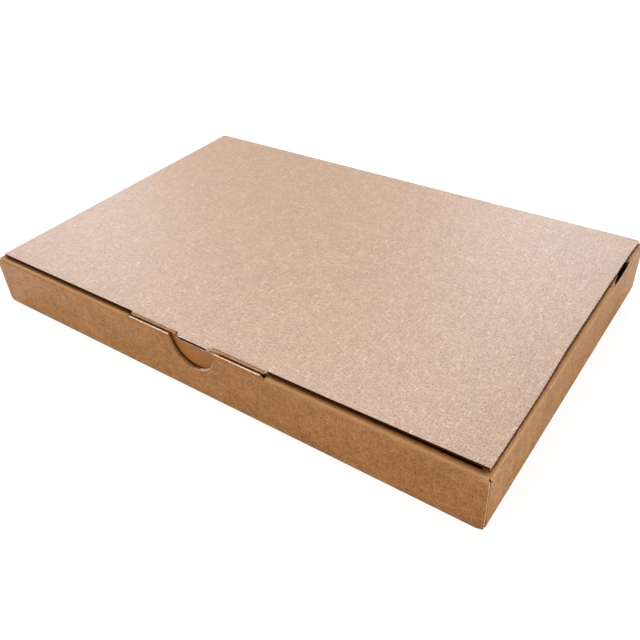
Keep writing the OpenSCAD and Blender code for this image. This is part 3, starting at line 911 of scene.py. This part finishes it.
def place_tab(P, Q, h):
    """From the lid's front edge the sheet goes on and turns down."""
    section = fold(UPRIGHT, P, h)
    height = LID_TOP - BOARD - section[..., 1] - sag(Q, FRONT_Y)
    return np.stack([Q, FRONT_Y - section[..., 0], height], -1)


def place_finger(P, Q, h):
    """The finger lip goes straight on from the lid's front edge."""
    return np.stack([Q, FRONT_Y - P, LID_TOP - BOARD * (1 - h) - sag(Q, FRONT_Y)], -1)


tab_p = stations(tab_fold, every=2)
corner = TUCK_ROUND * np.sin(np.linspace(0, math.pi / 2, 10)[1:])
tab_rows = np.concatenate([tab_p, tab_p[-1] + corner])
drop = np.maximum(0, tab_rows - tab_p[-1])
half = np.interp(tab_rows, [0, P_PANEL + 2.1], [TUCK_HALF, TUCK_HALF - TAB_SLOPE])
half += np.sqrt(np.maximum(TUCK_ROUND**2 - drop**2, 0.01)) - TUCK_ROUND
tab_q = lid_q[np.abs(lid_q) <= TUCK_HALF + NEAR]
outer = np.clip((np.abs(tab_q) - TAB_INNER) / (TUCK_HALF - TAB_INNER), 0, 1)
drawn_in = np.sign(tab_q) * (TAB_INNER + outer * (half[:, None] - TAB_INNER))
Q = np.where(outer > 0, drawn_in, tab_q)
mid_q = np.abs(between(tab_q))
finger_hole = (tab_rows[:-1] < P_PANEL + 0.8)[:, None] & (mid_q < FINGER + GAP)
joined = {"p0": mid_q > FINGER + GAP}
tab_panel = board(place_tab, tab_rows[:, None], Q, ~finger_hole, joined)

reach = np.linspace(0, FINGER_REACH, 4)[:, None]
finger_q = lid_q[np.abs(lid_q) <= FINGER + NEAR]
Q = finger_q * (1 - FINGER_TAPER / FINGER * (reach / FINGER_REACH))
finger_panel = board(place_finger, reach, Q, None, {"p0": True}, along=HOLLOW)


def tab_matt_and_shade(points):
    """The tuck tab has less gloss and is painted darker and redder, as the shade it lies in
    where it slides into the front wall: from its crease down, within a millimetre of the
    lid's front edge and beyond it."""
    x, y, z = points.T
    forward = np.clip((FRONT_Y + 0.6 - y) / 0.6, 0, 1)
    return {
        "worn": np.zeros_like(x),
        "matt": 0.9 * forward * np.clip((LID_TOP - 0.5 - z) / 0.8, 0, 1),
    }


lid_board = make_piece("lid_board", [lid_panel, tab_panel, finger_panel], skins_lid, tab_matt_and_shade)
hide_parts("lid")
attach(lid_board, "lid")

# %% [markdown]
# ## The crease behind
#
# The lid and the back wall are one sheet, and between them is only a crushed crease. It is
# made as its own strip, a quarter turn from the back wall's top to the lid's back edge.

# %% Back crease
CREASE_IN = 1.05  # the pressed crease's inner radius: it is only 0.85 mm thick


def place_crease(P, Q, h):
    """A quarter turn round the crease's centre, thinner than the board because the crease is
    pressed flat: P is the angle, and the skins lie 1.05 and 1.9 mm from the centre."""
    radius = CREASE_IN + (FOLD_OUT - CREASE_IN) * h
    height = LID_TOP - FOLD_OUT + radius * np.sin(P) - sag(Q, LID_BACK) * np.sin(P)
    return np.stack([Q, LID_BACK + radius * np.cos(P), height], -1)


crease_q = even_steps(-BACK_RUN, BACK_RUN, 10)
crease_panel = board(place_crease, np.linspace(0, math.pi / 2, 15)[:, None], crease_q)
back_fold = make_piece("back_fold", [crease_panel], skins_tray)
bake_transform(back_fold)
print("back crease", len(back_fold.data.vertices), "points")

# %% [markdown]
# ## Floor and backdrop
#
# The photograph has a pure white ground. The stage is a white floor that is seen as almost
# white by the camera and still keeps the box's shadow, and farther off it is white by itself.

# %% White floor
STAGE_HALF, STAGE_Z = 6, -0.0002  # in metres; just under the box


def seen_directly(add):
    """1 where the camera sees a surface, straight or through glass, and 0 elsewhere."""
    path = add("LightPath").outputs
    either = {0: path["Is Camera Ray"], 1: path["Is Transmission Ray"]}
    return add("Math", either, operation="MAXIMUM")


def white_ground(name):
    """White painted board, matt and pale. To the camera it also glows, so that its lit part
    reaches white while its shadow stays, and farther off it is white by itself."""
    material = bpy.data.materials.new(name)
    add = adder(material)
    matt = add("BsdfDiffuse", {"Color": (0.6, 0.6, 0.6, 1)})
    dim = add("BsdfDiffuse", {"Color": (0.22, 0.22, 0.22, 1)})
    away = add("VectorMath", {0: add("TexCoord").outputs["Object"]}, operation="LENGTH")
    rising = {"From Min": 0.5, "From Max": 1.5, "To Min": 0.9, "To Max": 1.0}
    strength = add("MapRange", {"Value": away, **rising})
    glow = add("Emission", {"Strength": strength})
    both = add("AddShader", {0: dim, 1: glow})
    mix = add("MixShader", {0: seen_directly(add), 1: matt, 2: both})
    add("OutputMaterial", {"Surface": mix})
    return material


ground_mesh = bpy.data.meshes.new("ground")
signs = ((-1, -1), (1, -1), (1, 1), (-1, 1))
square = [(x * STAGE_HALF, y * STAGE_HALF, STAGE_Z) for x, y in signs]
ground_mesh.from_pydata(square, [], [(0, 1, 2, 3)])
ground_mesh.materials.append(white_ground("white_ground"))
ground = add_object("ground", ground_mesh)
print("ground", ground.name)

# %% [markdown]
# ## Lamps and sky
#
# Large soft lamps stand round the box: four behind it, whose sheen pales the lid, and one
# before each visible wall. The sky is white where the camera sees it, and gives little light.

# %% Lamps and sky
def softbox(name, direction, distance, size, radiance, tint=(1, 1, 1)):
    """A square lamp facing the box. Its power is radiance times pi times its area."""
    lamp = bpy.data.lights.new(name, "AREA")
    lamp.color = tint
    lamp.shape, lamp.size, lamp.size_y = "RECTANGLE", size[0], size[1]
    lamp.energy = radiance * math.pi * size[0] * size[1]
    holder = add_object(name, lamp)
    away = Vector(direction).normalized()
    holder.location = away * distance
    holder.rotation_euler = away.to_track_quat("Z", "Y").to_euler()


COOL, WARM = (0.84, 0.89, 1.0), (1.0, 0.985, 0.955)
softbox("softbox_behind", (-0.485, 0.66, 0.60), 2.2, (2.5, 1.6), 2.0, WARM)
softbox("softbox_behind_left", (-0.83, 0.30, 0.47), 2.2, (1.2, 1.2), 2.0, COOL)
softbox("softbox_behind_right", (-0.05, 0.86, 0.50), 2.2, (1.2, 1.2), 2.3, COOL)
softbox("softbox_high", (-0.30, 0.42, 0.86), 2.2, (1.2, 1.2), 3.2)
softbox("softbox_front", (-0.35, -0.88, 0.30), 1.4, (0.93, 0.35), 12.4)
softbox("softbox_right", (0.97, -0.10, 0.14), 2.4, (1.6, 0.6), 17.0)

world = bpy.data.worlds.new("sky")
bpy.context.scene.world = world
add = adder(world)
level = add("MapRange", {"Value": seen_directly(add), "To Min": 0.08, "To Max": 1.0})
sky = add("Background", {"Color": (1, 1, 1, 1), "Strength": level})
add("OutputWorld", {"Surface": sky})
bpy.context.scene.view_settings.view_transform = "Standard"
